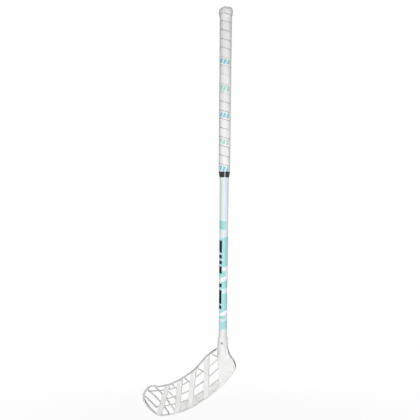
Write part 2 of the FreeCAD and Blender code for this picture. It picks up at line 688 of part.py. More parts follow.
def main():
    """Build every sub-part, test the document and write one file for each sub-part."""
    nodes = [shaft_tube(), tip_plug(), butt_cap(), grip_liner(), grip_tape(), grip_collar(), blade(),
             blade_screws()]
    doc.recompute()
    for item in doc.Objects:
        if "Invalid" in item.State or "Error" in item.State:
            raise RuntimeError(f"{item.Label} failed: {item.State}")
    for node in nodes:
        if node.Shape.isNull() or not node.Shape.isValid():
            raise RuntimeError(f"{node.Label} has no valid shape")
    os.makedirs("parts", exist_ok=True)
    for node in nodes:
        node.Shape.exportStep(f"parts/{node.Label}.step")
        print(f"{node.Label}: {len(node.Shape.Solids)} solids, {node.Shape.Volume:.0f} cubic mm")


main()
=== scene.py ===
"""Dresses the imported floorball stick: wound grip, printed shaft and moulded lattice blade."""
import logging
import math
from dataclasses import dataclass
from enum import Enum

import bmesh
import bpy
from mathutils import Matrix, Vector


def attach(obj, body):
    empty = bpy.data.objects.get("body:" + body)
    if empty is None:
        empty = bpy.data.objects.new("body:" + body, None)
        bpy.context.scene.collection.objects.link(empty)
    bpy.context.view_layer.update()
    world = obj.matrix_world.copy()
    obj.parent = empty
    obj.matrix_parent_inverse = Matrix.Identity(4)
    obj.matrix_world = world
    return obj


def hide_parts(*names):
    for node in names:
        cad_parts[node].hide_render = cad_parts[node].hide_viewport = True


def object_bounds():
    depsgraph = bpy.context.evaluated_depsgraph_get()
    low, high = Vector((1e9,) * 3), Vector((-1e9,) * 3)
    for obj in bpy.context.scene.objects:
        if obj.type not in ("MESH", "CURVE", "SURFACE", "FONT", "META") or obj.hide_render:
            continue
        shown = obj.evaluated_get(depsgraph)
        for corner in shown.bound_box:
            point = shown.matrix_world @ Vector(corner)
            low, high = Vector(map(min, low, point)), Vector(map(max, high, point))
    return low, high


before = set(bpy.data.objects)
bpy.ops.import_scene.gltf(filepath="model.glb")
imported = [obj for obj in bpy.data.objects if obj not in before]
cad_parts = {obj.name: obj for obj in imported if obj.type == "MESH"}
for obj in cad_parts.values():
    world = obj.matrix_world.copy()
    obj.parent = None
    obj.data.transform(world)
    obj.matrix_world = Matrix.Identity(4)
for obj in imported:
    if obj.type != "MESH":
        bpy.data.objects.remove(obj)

CAD_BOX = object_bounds()
LOG = logging.getLogger("floorball_stick")
MM = 0.001
# The front of the stick, where the print and the tape's marks face, in degrees about the shaft.
FRONT_DEGREES = -78.0
# The level where the wound tape is trimmed at the butt.
TAPE_TOP_MM = 188.9
# The tape's own attribute: a point's share across the strip, and the number of its turn.
STRIP = "strip"
# Points closer than this are joined.
MERGE_MM = 0.01
# How far each round of smoothing moves a point towards its neighbours.
SMOOTHING_SHARE = 0.5
# Strength and depth in mm of the skin that a spark-eroded mould leaves.
MOULD_SKIN = (0.12, 0.05)

Colour = tuple[float, float, float, float]
BLACK: Colour = (0.0, 0.0, 0.0, 1.0)
WHITE: Colour = (1.0, 1.0, 1.0, 1.0)


class Interpolation(Enum):
    """How a colour ramp goes from one stop to the next."""

    EVEN = "LINEAR"
    STEPPED = "CONSTANT"


def linear(code: str) -> Colour:
    """Turns an sRGB colour into the linear values that shaders take.

    Args:
        code: The colour as #RRGGBB.

    Returns:
        Red, green, blue and alpha, linear.
    """
    shares = [int(code[i:i + 2], 16) / 255 for i in (1, 3, 5)]
    return (*(s / 12.92 if s <= 0.04045 else ((s + 0.055) / 1.055) ** 2.4 for s in shares), 1.0)


def add_node(tree: bpy.types.NodeTree, kind: str, inputs: dict[str | int, object] | None = None,
             stops: list[tuple[float, Colour]] | None = None, way: Interpolation = Interpolation.EVEN,
             **settings: object) -> bpy.types.Node:
    """Adds a node with its settings and links.

    Args:
        tree: The node tree that gets it.
        kind: The node's type, without the leading word ShaderNode.
        inputs: A value, or the socket to link from, for each input's name or number.
        stops: A ramp's stops, as pairs of a place and a linear colour.
        way: How a ramp goes from stop to stop.
        settings: The node's own properties.

    Returns:
        The new node.
    """
    node = tree.nodes.new("ShaderNode" + kind)
    for name, value in settings.items():
        setattr(node, name, value)
    for key, value in (inputs or {}).items():
        if isinstance(value, bpy.types.NodeSocket):
            tree.links.new(value, node.inputs[key])
        else:
            node.inputs[key].default_value = value
    for number, (place, colour) in enumerate(stops or []):
        ramp = node.color_ramp
        ramp.interpolation = way.value
        stop = ramp.elements[number] if number < 2 else ramp.elements.new(place)
        stop.position = place
        stop.color = colour
    return node


def empty_tree(owner: bpy.types.Material | bpy.types.World) -> bpy.types.NodeTree:
    """Gives a material or a world a node tree with nothing in it.

    Args:
        owner: The material or the world.

    Returns:
        Its node tree.
    """
    owner.use_nodes = True
    owner.node_tree.nodes.clear()
    return owner.node_tree


def new_surface(
        name: str, **sockets: object) -> tuple[bpy.types.Material, bpy.types.NodeTree, bpy.types.Node]:
    """Makes a node material with nothing but a shader on its output.

    Args:
        name: The material's name.
        sockets: Uniform values of the shader's own sockets, with _ for a space.

    Returns:
        The material, its node tree and its shader node.
    """
    material = bpy.data.materials.new(name)
    tree = empty_tree(material)
    values = {key.replace("_", " "): value for key, value in sockets.items()}
    shader = add_node(tree, "BsdfPrincipled", values)
    add_node(tree, "OutputMaterial", {"Surface": shader.outputs[0]})
    return material, tree, shader


def lay_skin(tree: bpy.types.NodeTree, shader: bpy.types.Node, tint: bpy.types.NodeSocket,
             gloss: tuple[bpy.types.NodeSocket, float, float],
             relief: tuple[bpy.types.NodeSocket, float, float] | None = None) -> None:
    """Gives a shader its tint, a gloss that varies, and the relief of its skin.

    Args:
        tree: The shader's node tree.
        shader: The shader node.
        tint: The finished colour.
        gloss: What varies the roughness, and the least and the greatest roughness.
        relief: The skin's height, its strength and its depth in mm.
    """
    source, least, greatest = gloss
    rough = add_node(tree, "MapRange", {0: source, 3: least, 4: greatest})
    tree.links.new(tint, shader.inputs["Base Color"])
    tree.links.new(rough.outputs[0], shader.inputs["Roughness"])
    if relief:
        height, strength, depth_mm = relief
        bump = add_node(tree, "Bump", {"Strength": strength, "Distance": depth_mm * MM, "Height": height})
        tree.links.new(bump.outputs["Normal"], shader.inputs["Normal"])


def lay_over(tree: bpy.types.NodeTree, below: bpy.types.NodeSocket | Colour,
             above: bpy.types.NodeSocket | Colour, *masks: bpy.types.NodeSocket) -> bpy.types.NodeSocket:
    """Lays one colour over another where several masks meet.

    Args:
        tree: The node tree that gets the nodes.
        below: The colour that stays where a mask is 0.
        above: The colour that shows where every mask is 1.
        masks: The masks, which are multiplied.

    Returns:
        The mixed colour.
    """
    share, *others = masks
    for mask in others:
        share = add_node(tree, "Math", {0: share, 1: mask}, operation="MULTIPLY").outputs[0]
    return add_node(tree, "Mix", {0: share, 6: below, 7: above}, data_type="RGBA").outputs[2]


def around_shaft(tree: bpy.types.NodeTree, place: bpy.types.NodeSocket,
                 whole: float) -> tuple[bpy.types.NodeSocket, bpy.types.NodeSocket]:
    """Finds where a point lies along the shaft, and how far round it from the front.

    Args:
        tree: The node tree that gets the nodes.
        place: The point in the object's own coordinates.
        whole: The angle in radians that counts as 1.

    Returns:
        The point's level and its share of the angle, positive to the right.
    """
    to_front = (0, 0, math.radians(-FRONT_DEGREES - 90))
    turned = add_node(tree, "Mapping", {"Vector": place, "Rotation": to_front})
    axes = add_node(tree, "SeparateXYZ", {0: turned.outputs[0]})
    forward = add_node(tree, "Math", {0: axes.outputs[1], 1: -1.0}, operation="MULTIPLY")
    angle = add_node(tree, "Math", {0: axes.outputs[0], 1: forward.outputs[0]}, operation="ARCTAN2")
    share = add_node(tree, "Math", {0: angle.outputs[0], 1: whole}, operation="DIVIDE")
    return axes.outputs[2], share.outputs[0]


def seen_directly(tree: bpy.types.NodeTree) -> bpy.types.NodeSocket:
    """Tells what the eye sees, also in a gloss or through a clear piece, from what only lights the stick.

    Args:
        tree: The node tree that gets the nodes.

    Returns:
        1 where it is seen, otherwise 0.
    """
    path = add_node(tree, "LightPath")
    seen = path.outputs["Is Camera Ray"]
    for ray in ("Is Glossy Ray", "Is Transmission Ray"):
        seen = add_node(tree, "Math", {0: seen, 1: path.outputs[ray]}, operation="MAXIMUM").outputs[0]
    return seen


@dataclass(frozen=True)
class Mottle:
    """A colour with spots of a darker shade: their size and detail, and where the noise reaches each."""

    shade: str
    colour: str
    size_mm: float = 40.0
    detail: float = 3.0
    shares: tuple[float, float] = (0.3, 0.65)

    def lay(self, tree: bpy.types.NodeTree,
            place: bpy.types.NodeSocket) -> tuple[bpy.types.NodeSocket, bpy.types.NodeSocket]:
        """Makes the spots.

        Args:
            tree: The node tree that gets the nodes.
            place: The point in the object's own coordinates.

        Returns:
            The spots' noise from 0 to 1, and the spotted colour.
        """
        noise = add_node(tree, "TexNoise", {
            "Vector": place, "Scale": 1 / (self.size_mm * MM), "Detail": self.detail}).outputs["Fac"]
        stops = list(zip(self.shares, (linear(self.shade), linear(self.colour))))
        return noise, add_node(tree, "ValToRGB", {"Fac": noise}, stops).outputs["Color"]


@dataclass(frozen=True)
class MouldedPlastic:
    """Moulded or rolled plastic and rubber: satin and softly mottled, with the fine skin of its tool."""

    name: str
    tint: Mottle
    roughness: float
    grain_mm: float = 1.2
    specular: float = 0.5
    gloss_spread: float = 0.06

    def make(self) -> bpy.types.Material:
        """Builds the finish: slow clouds in the colour, a satin gloss that varies, and the skin's grain.

        Returns:
            The material.
        """
        material, tree, shader = new_surface(self.name, IOR=1.5, Specular_IOR_Level=self.specular)
        place = add_node(tree, "TexCoord").outputs["Object"]
        clouds, tint = self.tint.lay(tree, place)
        # The tool's skin is about 0.1 mm, too fine to show, so its grain is drawn at more than 1 mm.
        grain = add_node(tree, "TexNoise", {
            "Vector": place, "Scale": 1 / (self.grain_mm * MM), "Detail": 2.0})
        gloss = (self.roughness - self.gloss_spread, self.roughness + self.gloss_spread)
        lay_skin(tree, shader, tint, (clouds, *gloss), (grain.outputs["Fac"], *MOULD_SKIN))
        return material


@dataclass(frozen=True)
class MouldedPolyethylene:
    """Injection moulded polyethylene: near white and satin; painted shade greys its bars, rim and walls, and
    partly its thin web.

    Levels and places in mm. The lattice lies left of the rim's end and the heel right of the shaft.
    """

    name: str = "moulded_polyethylene_blade"
    white: Mottle = Mottle("#F2F3F1", "#FAFBF9", 45.0, 4.0, (0.35, 0.65))
    # The thin web's grey is partly its translucency and partly painted shade in its bays and on walls near
    # the middle sheet.
    thin: Mottle = Mottle("#E2E3E1", "#F4F5F3", 16.0, 3.0, (0.38, 0.62))
    # Painted shade: bar and rim faces greyer, the rim beside the socket and upward walls darker, and near
    # black a painted shadow at the top of the cell beside the socket.
    bar: str = "#D3D4D2"
    rim: str = "#C3C4C2"
    deep_rim_shade: str = "#848584"
    edge_shade: str = "#7C7D7C"
    stroke_shade: str = "#343534"
    grain_mm: float = 1.2
    glow_mm: float = 4.0
    gloss: tuple[float, float] = (0.38, 0.52)
    # Depths from the blade's middle sheet: the thin web, and the faces of bars and rim with half their band.
    hook_radius_mm: float = 943.9
    thin_mm: float = 3.0
    bar_mm: tuple[float, float] = (2.72, 0.3)
    rim_mm: tuple[float, float] = (4.75, 0.4)
    # Where the lattice ends beside the socket, where the toe starts, and the leaning line of its middle,
    # above which rim and walls get their full painted shade.
    rim_end_mm: float = -14.0
    toe_mm: float = -135.0
    middle_mm: float = -732.0
    middle_band_mm: float = 20.0
    lower_share: float = 0.3
    lean: tuple[float, float, float] = (-0.12, 0.0, 1.0)
    # Which way the walls with painted shade face, on the lattice and at the heel, and how much painted shade
    # a normal's share of that way gives.
    up: tuple[float, float, float] = (0.1, 0.0, 0.995)
    heel_up: tuple[float, float, float] = (0.6, 0.0, 0.8)
    edge_shade_shares: tuple[tuple[float, float], ...] = ((0.35, 0.0), (0.58, 1.0), (0.85, 1.0), (0.98, 0.4))
    heel_start_mm: float = 10.0
    heel_levels_mm: tuple[float, float] = (-638.0, -665.0)
    heel_share: float = 0.95
    # The cell beside the socket: its left end, where a painted shadow lies on its rim, and middle and half
    # height of its first bar, which keeps less painted shade.
    cell_end_mm: float = -36.0
    fade_mm: tuple[float, float] = (-40.0, -18.0)
    stroke_shade_mm: tuple[float, float] = (-675.0, -668.0)
    first_bar_mm: tuple[float, float] = (-684.5, 9.5)
    first_bar_share: float = 0.7

    def find_depth(self, tree: bpy.types.NodeTree, place: bpy.types.NodeSocket) -> bpy.types.NodeSocket:
        """Measures from the hooked middle sheet of the blade, which is an arc about a line behind it.

        Args:
            tree: The node tree that gets the nodes.
            place: The point in the object's own coordinates.

        Returns:
            The distance from the sheet, on either side.
        """
        radius = self.hook_radius_mm * MM
        centred = add_node(tree, "Mapping", {
            "Vector": place, "Location": (0, -radius, 0), "Scale": (1, 1, 0)})
        reach = add_node(tree, "VectorMath", {0: centred.outputs[0]}, operation="LENGTH")
        off = add_node(tree, "Math", {0: reach.outputs["Value"], 1: radius}, operation="SUBTRACT")
        return add_node(tree, "Math", {0: off.outputs[0]}, operation="ABSOLUTE").outputs[0]

    def find_edges(self, tree: bpy.types.NodeTree, up: tuple[float, float, float]) -> bpy.types.NodeSocket:
        """Finds the walls that face a given way, upward on the lattice and up to the right at the heel,
        where shade is painted.

        Args:
            tree: The node tree that gets the nodes.
            up: Which way the walls with painted shade face.

        Returns:
            The edges' mask.
        """
        normal = add_node(tree, "NewGeometry").outputs["Normal"]
        facing = add_node(tree, "VectorMath", {0: normal, 1: up}, operation="DOT_PRODUCT")
        stops = [(share, (darkness, darkness, darkness, 1.0)) for share, darkness in self.edge_shade_shares]
        return add_node(tree, "ValToRGB", {"Fac": facing.outputs["Value"]}, stops).outputs[0]

    def grey_parts(self, tree: bpy.types.NodeTree, place: bpy.types.NodeSocket) -> list[tuple]:
        """Finds what is greyer than the plain white, painted shade except part of the thin web's grey: thin
        parts, bars, the rim's faces and upward walls.

        Args:
            tree: The node tree that gets the nodes.
            place: The point in the object's own coordinates.

        Returns:
            Each part's colour with its masks, in the order in which they are laid on.
        """
        depth = self.find_depth(tree, place)
        axes = add_node(tree, "SeparateXYZ", {0: place})
        across, level = axes.outputs[0], axes.outputs[2]
        _, thin = self.thin.lay(tree, place)
        sheet, left, toe = (
            add_node(tree, "Math", {0: value, 1: limit_mm * MM}, operation="LESS_THAN").outputs[0]
            for value, limit_mm in ((depth, self.thin_mm), (across, self.rim_end_mm), (across, self.toe_mm)))
        cell, heel = (
            add_node(tree, "Math", {0: across, 1: limit_mm * MM}, operation="GREATER_THAN").outputs[0]
            for limit_mm in (self.cell_end_mm, self.heel_start_mm))
        bar, rim, first_bar_band = (
            add_node(tree, "Math", {0: value, 1: centre * MM, 2: half * MM}, operation="COMPARE").outputs[0]
            for value, (centre, half) in (
                (depth, self.bar_mm), (depth, self.rim_mm), (level, self.first_bar_mm)))
        height = add_node(tree, "VectorMath", {0: place, 1: self.lean}, operation="DOT_PRODUCT")
        middle = (self.middle_mm - self.middle_band_mm, self.middle_mm + self.middle_band_mm)
        first_bar = add_node(tree, "Math", {0: first_bar_band, 1: cell}, operation="MULTIPLY")
        above, shade_kept, stroke_shade, fading, below = (
            add_node(tree, "MapRange", {0: value, 1: start, 2: end, 3: first, 4: last}).outputs[0]
            for value, (start, end), (first, last) in (
                (height.outputs["Value"], (middle[0] * MM, middle[1] * MM), (self.lower_share, 1.0)),
                (first_bar.outputs[0], (0.0, 1.0), (1.0, 1 - self.first_bar_share)),
                (level, (self.stroke_shade_mm[0] * MM, self.stroke_shade_mm[1] * MM), (0.0, 1.0)),
                (across, (self.fade_mm[0] * MM, self.fade_mm[1] * MM), (0.0, 1.0)),
                (level, (self.heel_levels_mm[0] * MM, self.heel_levels_mm[1] * MM), (0.0, self.heel_share))))
        lattice = add_node(tree, "Math", {0: toe, 1: above}, operation="MAXIMUM").outputs[0]
        edges, heel_edges = (self.find_edges(tree, up) for up in (self.up, self.heel_up))
        # Painted shade, the thin web's grey only in part; in the cell beside the socket the rim's painted
        # shadow is darkest and the bar under it gets least.
        return [
            (thin, sheet),
            (linear(self.bar), bar, shade_kept),
            (linear(self.rim), rim, left, above),
            (linear(self.deep_rim_shade), rim, left, above, stroke_shade, fading),
            (linear(self.edge_shade), edges, lattice, left, shade_kept),
            (linear(self.edge_shade), heel_edges, heel, below),
            (linear(self.stroke_shade), edges, stroke_shade, fading, left),
        ]

    def make(self) -> bpy.types.Material:
        """Builds the finish: clouds in the white, painted shade on thin parts, bars, rim and walls, and the
        mould's skin.

        Returns:
            The material.
        """
        material, tree, shader = new_surface(
            self.name, IOR=1.5, Specular_IOR_Level=0.1, Subsurface_Weight=0.4,
            Subsurface_Radius=(1.0, 1.0, 1.0), Subsurface_Scale=self.glow_mm * MM)
        place = add_node(tree, "TexCoord").outputs["Object"]
        clouds, tint = self.white.lay(tree, place)
        for colour, *masks in self.grey_parts(tree, place):
            tint = lay_over(tree, tint, colour, *masks)
        # The mould's skin is about 0.1 mm, too fine to show, so its grain is drawn at 1.2 mm.
        grain = add_node(tree, "TexNoise", {
            "Vector": place, "Scale": 1 / (self.grain_mm * MM), "Detail": 2.0})
        lay_skin(tree, shader, tint, (clouds, *self.gloss), (grain.outputs["Fac"], *MOULD_SKIN))
        return material


@dataclass(frozen=True)
class PrintLayer:
    """One ink of the shaft's print: slanted blocks along the shaft, over a part of its round."""

    colour: str
    slant_mm: float
    first_turn: float
    last_turn: float
    blocks_mm: tuple[tuple[float, float], ...]


@dataclass(frozen=True)
class LacqueredPrint:
    """Printed film under clear lacquer, on a fibre composite tube: pale colours under a soft gloss."""

    name: str = "printed_film_under_clear_lacquer"
    top_mm: float = -200.0
    foot_mm: float = -660.0
    ripple_mm: float = 9.0
    gloss: tuple[float, float] = (0.32, 0.42)
    skin: tuple[float, float] = (0.08, 0.1)
    # The bare film goes from pale blue at the back over mint at the left to pale blue at the right.
    film: tuple[tuple[float, str], ...] = (
        (0.0, "#E3EEF6"), (0.32, "#E1F4EE"), (0.46, "#E3F2EF"), (0.58, "#E3EFF8"), (1.0, "#E3EEF6"))
    layers: tuple[PrintLayer, ...] = (
        PrintLayer("#EDEFEE", 3.0, -1.0, 1.0, ((-645, -602),)),
        PrintLayer("#A2E0D8", 5.0, -0.62, 0.16, ((-352, -331), (-470, -455), (-574, -565))),
        PrintLayer("#A9DFE4", -9.0, -0.20, 0.70, ((-446, -372), (-500, -482), (-556, -512), (-600, -580))),
        PrintLayer("#C6EDEB", 14.0, -0.70, -0.08, ((-430, -402), (-548, -500))),
        PrintLayer("#FBFDFC", -16.0, -0.80, 0.80, ((-455, -449), (-478, -470), (-564, -557))),
        PrintLayer("#0C1114", 9.0, -0.60, -0.13, ((-412, -380), (-426, -417), (-440, -431), (-463, -445),
                                                 (-498, -489), (-538, -505), (-551, -543))),
    )

    def print_layer(self, tree: bpy.types.NodeTree, layer: PrintLayer, film: bpy.types.NodeSocket,
                    level: bpy.types.NodeSocket, turn: bpy.types.NodeSocket) -> bpy.types.NodeSocket:
        """Prints one ink on the film.

        Args:
            tree: The node tree that gets the nodes.
            layer: The ink and its blocks.
            film: The film's colour so far.
            level: The point's level along the shaft.
            turn: The point's share of half a turn from the front.

        Returns:
            The film's colour with the ink on it.
        """
        lean = add_node(tree, "Math", {0: turn, 1: layer.slant_mm * MM, 2: level}, operation="MULTIPLY_ADD")
        along = add_node(tree, "MapRange", {0: lean.outputs[0], 1: self.foot_mm * MM, 2: self.top_mm * MM})
        stops = [(0.0, BLACK)]
        for low, high in sorted(layer.blocks_mm):
            for end, shown in ((low, WHITE), (high, BLACK)):
                stops.append(((end - self.foot_mm) / (self.top_mm - self.foot_mm), shown))
        blocks = add_node(tree, "ValToRGB", {"Fac": along.outputs[0]}, stops, Interpolation.STEPPED)
        left = add_node(tree, "Math", {0: turn, 1: layer.first_turn}, operation="GREATER_THAN")
        right = add_node(tree, "Math", {0: turn, 1: layer.last_turn}, operation="LESS_THAN")
        masks = [mask.outputs[0] for mask in (blocks, left, right)]
        return lay_over(tree, film, linear(layer.colour), *masks)

    def make(self) -> bpy.types.Material:
        """Builds the finish: a tint that goes round the tube, the layers of ink, and the lacquer.

        Returns:
            The material.
        """
        material, tree, shader = new_surface(self.name, IOR=1.5, Coat_Weight=0.06, Coat_Roughness=0.25,
                                             Specular_IOR_Level=0.14)
        place = add_node(tree, "TexCoord").outputs["Object"]
        level, turn = around_shaft(tree, place, math.pi)
        share = add_node(tree, "MapRange", {0: turn, 1: -1.0, 2: 1.0})
        tint = add_node(tree, "ValToRGB", {"Fac": share.outputs[0]},
                        [(stop, linear(code)) for stop, code in self.film]).outputs["Color"]
        for layer in self.layers:
            tint = self.print_layer(tree, layer, tint, level, turn)
        ripple = add_node(tree, "TexNoise", {
            "Vector": place, "Scale": 1 / (self.ripple_mm * MM), "Detail": 2.0})
        lay_skin(tree, shader, tint, (ripple.outputs["Fac"], *self.gloss),
                 (ripple.outputs["Fac"], *self.skin))
        return material


@dataclass(frozen=True)
class WoundPolyurethane:
    """Soft polyurethane tape with an embossed skin: matt white, greyer in the seams, which hold dirt."""

    name: str = "wound_polyurethane_tape"
    colour: str = "#FAFAF9"
    seam: str = "#8E8F8F"
    mark: str = "#86D6E6"
    pale_mark: str = "#B4E4DE"
    clouds_mm: float = 14.0
    grain_mm: float = 1.6
    gloss: tuple[float, float] = (0.58, 0.74)
    skin: tuple[float, float] = (0.18, 0.12)
    seam_share: float = 0.045
    # The part of the grip where the seams are pressed flat, and what is left of their grey.
    pressed_mm: tuple[float, float] = (90.0, -21.0)
    pressed_band_mm: float = 6.0
    pressed_share: float = 0.15
    # Dashes: on which turns, and how they lean, repeat and end, in shares of a turn or of the strip's width.
    mark_every: float = 3.0
    marked_turn: float = 1.0
    last_bare_turn: float = -3.5
    dash_lean_share: float = -0.07
    dash_step_share: float = 0.05
    dash_gap_share: float = 0.02
    dash_row_shares: tuple[float, float] = (-0.04, 0.15)
    dash_height_shares: tuple[float, float] = (0.5, 0.27)
    # The wedge of the strip's start: its middle in turns, and where its two sides fade.
    wedge_turn: float = 0.2
    wedge_half: tuple[float, float] = (0.24, 0.3)
    wedge_edge_mm: float = 1.8

    def soil_seams(self, tree: bpy.types.NodeTree, across: bpy.types.NodeSocket,
                   level: bpy.types.NodeSocket) -> bpy.types.NodeSocket:
        """Greys the seams, which hardly show in the middle of the grip, where they are pressed flat.

        Args:
            tree: The node tree that gets the nodes.
            across: The point's share across the strip.
            level: The point's level along the shaft.

        Returns:
            The tape's colour with its seams.
        """
        groove = add_node(tree, "ValToRGB", {"Fac": across}, [
            (0.0, WHITE), (self.seam_share, BLACK), (1 - self.seam_share, BLACK), (1.0, WHITE)])
        high, low = self.pressed_mm
        half = (high - low) / 2
        away = add_node(tree, "Math", {0: level, 1: (high + low) / 2 * MM}, operation="SUBTRACT")
        away = add_node(tree, "Math", {0: away.outputs[0]}, operation="ABSOLUTE")
        soiled = add_node(tree, "MapRange", {
            0: away.outputs[0], 1: (half - self.pressed_band_mm) * MM, 2: (half + self.pressed_band_mm) * MM,
            3: self.pressed_share, 4: 1.0})
        return lay_over(tree, linear(self.colour), linear(self.seam), groove.outputs[0], soiled.outputs[0])

    def print_dashes(self, tree: bpy.types.NodeTree, tint: bpy.types.NodeSocket, strip: bpy.types.Node,
                     turn: bpy.types.NodeSocket) -> bpy.types.NodeSocket:
        """Prints three slanted dashes on every third turn of the lower grip, by turns bright and pale.

        Args:
            tree: The node tree that gets the nodes.
            tint: The tape's colour so far.
            strip: The node with the point's share across the strip and the number of its turn.
            turn: The point's share of a turn from the front.

        Returns:
            The tape's colour with the dashes on it.
        """
        across, number = strip.outputs[0], strip.outputs[1]
        third = add_node(tree, "Math", {0: number, 1: self.mark_every}, operation="FLOORED_MODULO")
        lean = add_node(tree, "Math", {
            0: across, 1: self.dash_lean_share, 2: turn}, operation="MULTIPLY_ADD")
        steps = add_node(tree, "Math", {0: lean.outputs[0], 1: self.dash_step_share}, operation="PINGPONG")
        (row, row_half), (height, height_half) = self.dash_row_shares, self.dash_height_shares
        masks = [add_node(tree, "Math", values, operation=test).outputs[0] for test, values in (
            ("COMPARE", {0: third.outputs[0], 1: self.marked_turn, 2: 0.5}),
            ("LESS_THAN", {0: number, 1: self.last_bare_turn}),
            ("GREATER_THAN", {0: steps.outputs[0], 1: self.dash_gap_share}),
            ("COMPARE", {0: lean.outputs[0], 1: row, 2: row_half}),
            ("COMPARE", {0: across, 1: height, 2: height_half}))]
        other = add_node(tree, "Math", {0: number, 1: 2.0}, operation="FLOORED_MODULO")
        inks = lay_over(tree, linear(self.pale_mark), linear(self.mark), other.outputs[0])
        return lay_over(tree, tint, inks, *masks)

    def show_start(self, tree: bpy.types.NodeTree, tint: bpy.types.NodeSocket, level: bpy.types.NodeSocket,
                   turn: bpy.types.NodeSocket) -> bpy.types.NodeSocket:
        """Greys the strip's upper edge, apart from where its start is cut to a wedge.

        Args:
            tree: The node tree that gets the nodes.
            tint: The tape's colour so far.
            level: The point's level along the shaft.
            turn: The point's share of a turn from the front.

        Returns:
            The tape's colour with its upper edge.
        """
        start, end = self.wedge_half
        edge = add_node(tree, "MapRange", {0: level, 1: (TAPE_TOP_MM - self.wedge_edge_mm) * MM,
                                           2: TAPE_TOP_MM * MM})
        beside = add_node(tree, "Math", {0: turn, 1: self.wedge_turn}, operation="SUBTRACT")
        beside = add_node(tree, "Math", {0: beside.outputs[0]}, operation="ABSOLUTE")
        beside = add_node(tree, "MapRange", {0: beside.outputs[0], 1: start, 2: end})
        return lay_over(tree, tint, linear(self.seam), edge.outputs[0], beside.outputs[0])

    def make(self) -> bpy.types.Material:
        """Builds the finish: grey seams, marks along the strip and the embossed grain.

        Returns:
            The material.
        """
        material, tree, shader = new_surface(self.name, IOR=1.45, Specular_IOR_Level=0.12)
        place = add_node(tree, "TexCoord").outputs["Object"]
        level, turn = around_shaft(tree, place, 2 * math.pi)
        own = add_node(tree, "Attribute", attribute_name=STRIP)
        strip = add_node(tree, "SeparateXYZ", {0: own.outputs["Vector"]})
        tint = self.soil_seams(tree, strip.outputs[0], level)
        tint = self.print_dashes(tree, tint, strip, turn)
        tint = self.show_start(tree, tint, level, turn)
        # The real grain is about 0.8 mm, too fine to show in the render, so it is drawn at 1.6 mm.
        grain = add_node(tree, "TexVoronoi", {"Vector": place, "Scale": 1 / (self.grain_mm * MM)})
        clouds = add_node(tree, "TexNoise", {
            "Vector": place, "Scale": 1 / (self.clouds_mm * MM), "Detail": 3.0})
        lay_skin(tree, shader, tint, (clouds.outputs["Fac"], *self.gloss),
                 (grain.outputs["Distance"], *self.skin))
        return material


@dataclass(frozen=True)
class ZincPlatedSteel:
    """Rolled steel screw with dark zinc plating: a dull grey metal sheen with fine turning marks."""

    name: str = "dark_zinc_plated_steel"
    plating: Mottle = Mottle("#7E7E7D", "#A0A09F", 0.8, 3.0, (0.3, 0.7))
    gloss: tuple[float, float] = (0.32, 0.5)

    def make(self) -> bpy.types.Material:
        """Builds the finish: a metal with marks that vary its colour and its gloss.

        Returns:
            The material.
        """
        material, tree, shader = new_surface(self.name, Metallic=1.0)
        place = add_node(tree, "TexCoord").outputs["Object"]
        marks, tint = self.plating.lay(tree, place)
        lay_skin(tree, shader, tint, (marks, *self.gloss))
        return material


@dataclass(frozen=True)
class MattPaper:
    """Uncoated paper, rolled: a matt white that keeps a faint grey under the stick. Reach in metres."""

    name: str = "matt_white_paper_floor"
    fibres: Mottle = Mottle("#EFEFEF", "#F6F6F6", 3.0, 2.0, (0.3, 0.7))
    reach: tuple[float, float] = (0.25, 0.8)
    near_white: float = 0.93

    def make(self) -> bpy.types.Material:
        """Builds the finish: white to look at, less so near the stick, and paper for the light.

        Returns:
            The material.
        """
        material = bpy.data.materials.new(self.name)
        tree = empty_tree(material)
        place = add_node(tree, "TexCoord").outputs["Object"]
        reach = add_node(tree, "VectorMath", {0: place}, operation="LENGTH")
        white = add_node(tree, "MapRange", {0: reach.outputs["Value"], 1: self.reach[0], 2: self.reach[1],
                                            3: self.near_white, 4: 1.0})
        share = add_node(tree, "Math", {0: seen_directly(tree), 1: white.outputs[0]}, operation="MULTIPLY")
        _, paper = self.fibres.lay(tree, place)
        matt = add_node(tree, "BsdfDiffuse", {"Color": paper})
        glow = add_node(tree, "Emission", {"Color": WHITE, "Strength": 1.0})
        mixed = add_node(tree, "MixShader", {0: share.outputs[0], 1: matt.outputs[0], 2: glow.outputs[0]})
        add_node(tree, "OutputMaterial", {"Surface": mixed.outputs[0]})
        return material


def way_share(value: float, start: float, end: float) -> float:
    """Tells how far a value has come on the way from start to end, from 0 to 1."""
    return min(max((value - start) / (end - start), 0), 1)


def ease(share: float) -> float:
    """Gives a share a soft start and a soft end."""
    return share * share * (3 - 2 * share)


def cone_radius(level: float, foot: tuple[float, float], head: tuple[float, float]) -> float:
    """Works out a cone's radius at a level.

    Args:
        level: The level.
        foot: Level and radius of the cone's lower end.
        head: Level and radius of its upper end.

    Returns:
        The radius.
    """
    (low, low_radius), (high, high_radius) = foot, head
    return low_radius + (high_radius - low_radius) * (level - low) / (high - low)


def deselect_all() -> None:
    """Leaves nothing selected, in object mode."""
    if bpy.context.object and bpy.context.object.mode != "OBJECT":
        bpy.ops.object.mode_set(mode="OBJECT")
    bpy.ops.object.select_all(action="DESELECT")


def make_active(piece: bpy.types.Object) -> None:
    """Selects one piece alone and makes it the active one."""
    deselect_all()
    piece.select_set(True)
    bpy.context.view_layer.objects.active = piece


def dress(piece: bpy.types.Object, material: bpy.types.Material) -> None:
    """Gives a piece, or a CAD node, one material in all its slots."""
    if not piece.material_slots:
        piece.data.materials.append(material)
    for holder in piece.material_slots:
        holder.material = material


